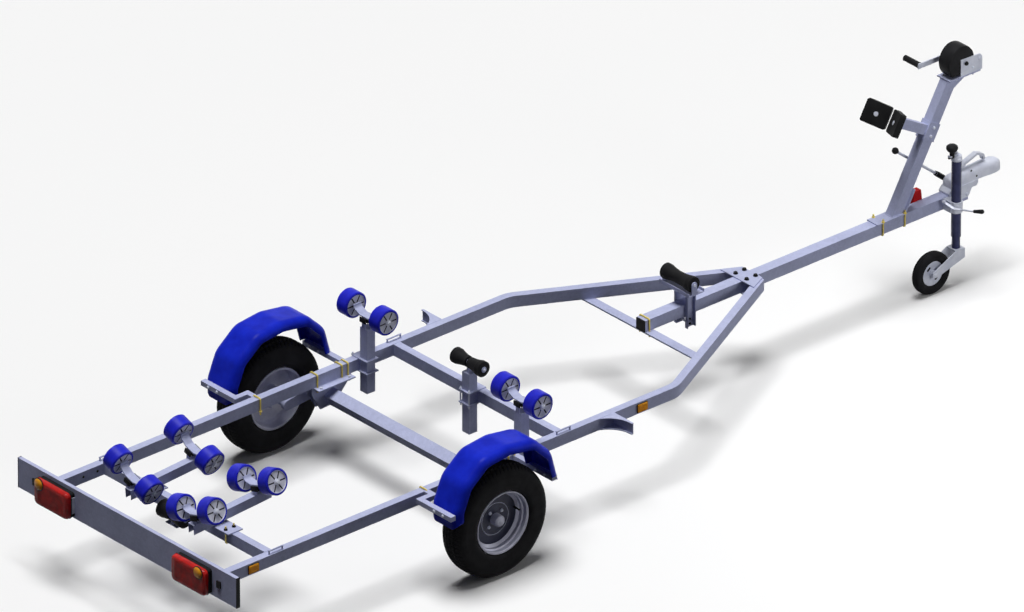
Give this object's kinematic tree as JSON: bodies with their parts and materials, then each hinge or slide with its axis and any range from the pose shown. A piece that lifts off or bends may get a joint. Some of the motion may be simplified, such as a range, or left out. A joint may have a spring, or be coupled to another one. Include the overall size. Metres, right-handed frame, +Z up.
{
  "type": "boat trailer",
  "caption": "Single-axle boat trailer of galvanised tube with rocking hull rollers, keel rollers, winch post, jockey wheel, mudguards and rear light board.",
  "frame": {"origin": "on the floor, under the middle of the trailer's whole length and width", "axes": "+X forward to the coupling, +Y to the trailer's left, +Z up"},
  "size_m": [5.472, 1.795, 1.242],
  "materials": {
    "galvanised_steel": "hot-dip galvanised, soft spangle",
    "zinc_fittings": "bright zinc plated",
    "wheel_steel": "silver painted pressed steel",
    "tyre": "black rubber",
    "blue_roller": "blue rubber tread on a pale nylon hub",
    "blue_plastic": "blue moulded plastic",
    "black_rubber": "black rubber",
    "black_plastic": "black moulded plastic",
    "red_lens": "red lens plastic",
    "red_plastic": "red moulded plastic",
    "amber_lens": "amber lens plastic"
  },
  "bodies": {
    "root": {"side_rail_left": "galvanised_steel", "side_rail_right": "galvanised_steel", "drawbar": "galvanised_steel", "crossmembers": "galvanised_steel", "drawbar_plates": "galvanised_steel", "light_board": "galvanised_steel", "side_stubs": "galvanised_steel", "axle_beam": "galvanised_steel", "axle_brackets": "galvanised_steel", "suspension_arms": "galvanised_steel", "mudguard_brackets": "galvanised_steel", "roller_posts": "galvanised_steel", "keel_brackets": "galvanised_steel", "cradle_mounts": "galvanised_steel", "clamp_plates": "galvanised_steel", "lashing_eyes": "galvanised_steel", "winch_post": "galvanised_steel", "bow_arm": "galvanised_steel", "winch_frame": "zinc_fittings", "coupling_head": "zinc_fittings", "coupling_housing": "zinc_fittings", "coupling_handle": "zinc_fittings", "hand_lever": "zinc_fittings", "jockey_clamp": "zinc_fittings", "jockey_tube": "zinc_fittings", "mudguard_left": "blue_plastic", "mudguard_right": "blue_plastic", "bow_pads": "black_rubber", "end_caps": "black_plastic", "lamp_bases": "black_plastic", "winch_guard": "black_plastic", "tail_lamps": "red_lens", "red_block": "red_plastic", "amber_reflectors": "amber_lens"},
    "wheel_left": {"road_tyre_left": "tyre", "road_rim_left": "wheel_steel"},
    "wheel_right": {"road_tyre_right": "tyre", "road_rim_right": "wheel_steel"},
    "jockey_lift": {"jockey_inner_tube": "zinc_fittings"},
    "jockey_caster": {"jockey_fork": "zinc_fittings"},
    "jockey_wheel": {"jockey_tyre": "tyre", "jockey_rim": "zinc_fittings"},
    "cradle_left": {"cradle_beam_left": "galvanised_steel"},
    "cradle_right": {"cradle_beam_right": "galvanised_steel"},
    "winch_spool": {"winch_drum": "zinc_fittings"},
    "keel_roller_mid": {"keel_roller_mid": "black_rubber"},
    "keel_roller_front": {"keel_roller_front": "black_rubber"},
    "keel_roller_rear": {"keel_roller_rear": "black_rubber"},
    "yoke_rear_left": {"yoke_rear_left": "galvanised_steel"},
    "rollers_rear_left": {"hull_rollers_rear_left": "blue_roller"},
    "yoke_front_left": {"yoke_front_left": "galvanised_steel"},
    "rollers_front_left": {"hull_rollers_front_left": "blue_roller"},
    "yoke_rear_right": {"yoke_rear_right": "galvanised_steel"},
    "rollers_rear_right": {"hull_rollers_rear_right": "blue_roller"},
    "yoke_front_right": {"yoke_front_right": "galvanised_steel"},
    "rollers_front_right": {"hull_rollers_front_right": "blue_roller"},
    "yoke_side_left": {"yoke_side_left": "galvanised_steel"},
    "rollers_side_left": {"hull_rollers_side_left": "blue_roller"},
    "yoke_side_right": {"yoke_side_right": "galvanised_steel"},
    "rollers_side_right": {"hull_rollers_side_right": "blue_roller"}
  },
  "joints": [
    {"name": "wheel_spin_left", "type": "hinge", "parent": "root", "child": "wheel_left", "pos_m": [-1.123, 0, 0.283], "axis": [0, 1, 0], "continuous": true},
    {"name": "wheel_spin_right", "type": "hinge", "parent": "root", "child": "wheel_right", "pos_m": [-1.123, 0, 0.283], "axis": [0, 1, 0], "continuous": true},
    {"name": "jockey_lift", "type": "slide", "parent": "root", "child": "jockey_lift", "axis": [0, 0, 1], "range_m": [-0.12, 0.045]},
    {"name": "jockey_swivel", "type": "hinge", "parent": "jockey_lift", "child": "jockey_caster", "pos_m": [2.392, -0.085, 0.2], "axis": [0, 0, 1], "continuous": true},
    {"name": "jockey_spin", "type": "hinge", "parent": "jockey_caster", "child": "jockey_wheel", "pos_m": [2.235, -0.085, 0.108], "axis": [0, 1, 0], "continuous": true},
    {"name": "keel_roller_spin_mid", "type": "hinge", "parent": "root", "child": "keel_roller_mid", "pos_m": [-0.576, 0, 0.586], "axis": [0, 1, 0], "continuous": true},
    {"name": "keel_roller_spin_front", "type": "hinge", "parent": "root", "child": "keel_roller_front", "pos_m": [0.727, 0, 0.575], "axis": [0, 1, 0], "continuous": true},
    {"name": "keel_roller_spin_rear", "type": "hinge", "parent": "root", "child": "keel_roller_rear", "pos_m": [-2.385, 0, 0.43], "axis": [0, 1, 0], "continuous": true},
    {"name": "cradle_rock_left", "type": "hinge", "parent": "root", "child": "cradle_left", "pos_m": [-2.303, 0.224, 0.488], "axis": [0, 1, 0], "range_deg": [-6, 6]},
    {"name": "cradle_rock_right", "type": "hinge", "parent": "root", "child": "cradle_right", "pos_m": [-2.303, -0.224, 0.488], "axis": [0, 1, 0], "range_deg": [-6, 6]},
    {"name": "yoke_rock_rear_left", "type": "hinge", "parent": "cradle_left", "child": "yoke_rear_left", "pos_m": [-2.439, 0.2376, 0.52315], "axis": [1, 0, 0], "range_deg": [-18, 8]},
    {"name": "rollers_spin_rear_left", "type": "hinge", "parent": "yoke_rear_left", "child": "rollers_rear_left", "pos_m": [-2.439, 0.224, 0.565], "axis": [0, 0.9511, 0.309], "continuous": true},
    {"name": "yoke_rock_front_left", "type": "hinge", "parent": "cradle_left", "child": "yoke_front_left", "pos_m": [-2.071, 0.2376, 0.54695], "axis": [1, 0, 0], "range_deg": [-18, 8]},
    {"name": "rollers_spin_front_left", "type": "hinge", "parent": "yoke_front_left", "child": "rollers_front_left", "pos_m": [-2.071, 0.224, 0.5888], "axis": [0, 0.9511, 0.309], "continuous": true},
    {"name": "yoke_rock_rear_right", "type": "hinge", "parent": "cradle_right", "child": "yoke_rear_right", "pos_m": [-2.439, -0.2376, 0.52315], "axis": [1, 0, 0], "range_deg": [-8, 18]},
    {"name": "rollers_spin_rear_right", "type": "hinge", "parent": "yoke_rear_right", "child": "rollers_rear_right", "pos_m": [-2.439, -0.224, 0.565], "axis": [0, 0.9511, -0.309], "continuous": true},
    {"name": "yoke_rock_front_right", "type": "hinge", "parent": "cradle_right", "child": "yoke_front_right", "pos_m": [-2.071, -0.2376, 0.54695], "axis": [1, 0, 0], "range_deg": [-8, 18]},
    {"name": "rollers_spin_front_right", "type": "hinge", "parent": "yoke_front_right", "child": "rollers_front_right", "pos_m": [-2.071, -0.224, 0.5888], "axis": [0, 0.9511, -0.309], "continuous": true},
    {"name": "yoke_rock_side_left", "type": "hinge", "parent": "root", "child": "yoke_side_left", "pos_m": [-0.732, 0.546, 0.643], "axis": [1, 0, 0], "range_deg": [-15, 15]},
    {"name": "rollers_spin_side_left", "type": "hinge", "parent": "yoke_side_left", "child": "rollers_side_left", "pos_m": [-0.732, 0.546, 0.687], "axis": [0, 1, 0], "continuous": true},
    {"name": "yoke_rock_side_right", "type": "hinge", "parent": "root", "child": "yoke_side_right", "pos_m": [-0.732, -0.546, 0.643], "axis": [1, 0, 0], "range_deg": [-15, 15]},
    {"name": "rollers_spin_side_right", "type": "hinge", "parent": "yoke_side_right", "child": "rollers_side_right", "pos_m": [-0.732, -0.546, 0.687], "axis": [0, 1, 0], "continuous": true},
    {"name": "winch_crank", "type": "hinge", "parent": "root", "child": "winch_spool", "pos_m": [2.481, 0, 1.123], "axis": [0, 1, 0], "continuous": true}
  ]
}
